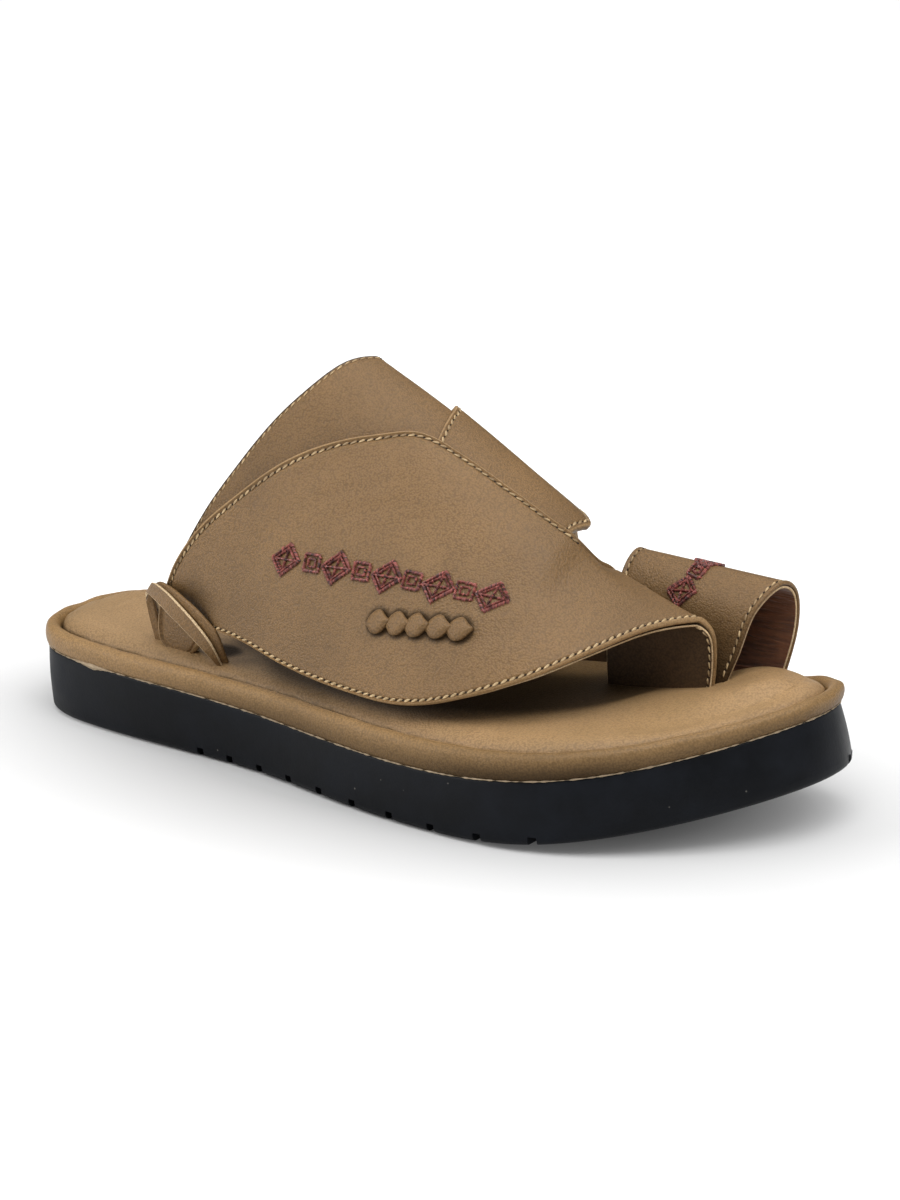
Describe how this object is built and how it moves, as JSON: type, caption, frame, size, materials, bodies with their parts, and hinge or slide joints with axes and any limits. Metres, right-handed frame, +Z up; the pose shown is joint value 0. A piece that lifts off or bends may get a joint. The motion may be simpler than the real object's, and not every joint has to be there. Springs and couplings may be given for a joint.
{
  "type": "arabic sandal",
  "caption": "Slip-on leather sandal for the right foot with a wide wrapped instep upper, side flap with toe post, big-toe loop, padded footbed and thick rubber sole with toe spring.",
  "frame": {"origin": "middle of the sandal's plan box, on the floor under the sole", "axes": "+X from heel to toe, +Y to the big-toe side, +Z up"},
  "size_m": [0.2954, 0.112, 0.1321],
  "materials": {
    "sole_rubber": "satin black moulded rubber",
    "wrap_leather": "satin tan leather",
    "pad_leather": "satin tan leather over foam",
    "upper_leather": "satin tan leather with fine grain"
  },
  "bodies": {
    "root": {"outsole": "sole_rubber", "footbed_wrap": "wrap_leather", "insole_pad": "pad_leather", "upper": "upper_leather", "toe_loop": "upper_leather", "side_ear": "upper_leather", "woven_accent": "upper_leather"}
  },
  "joints": []
}
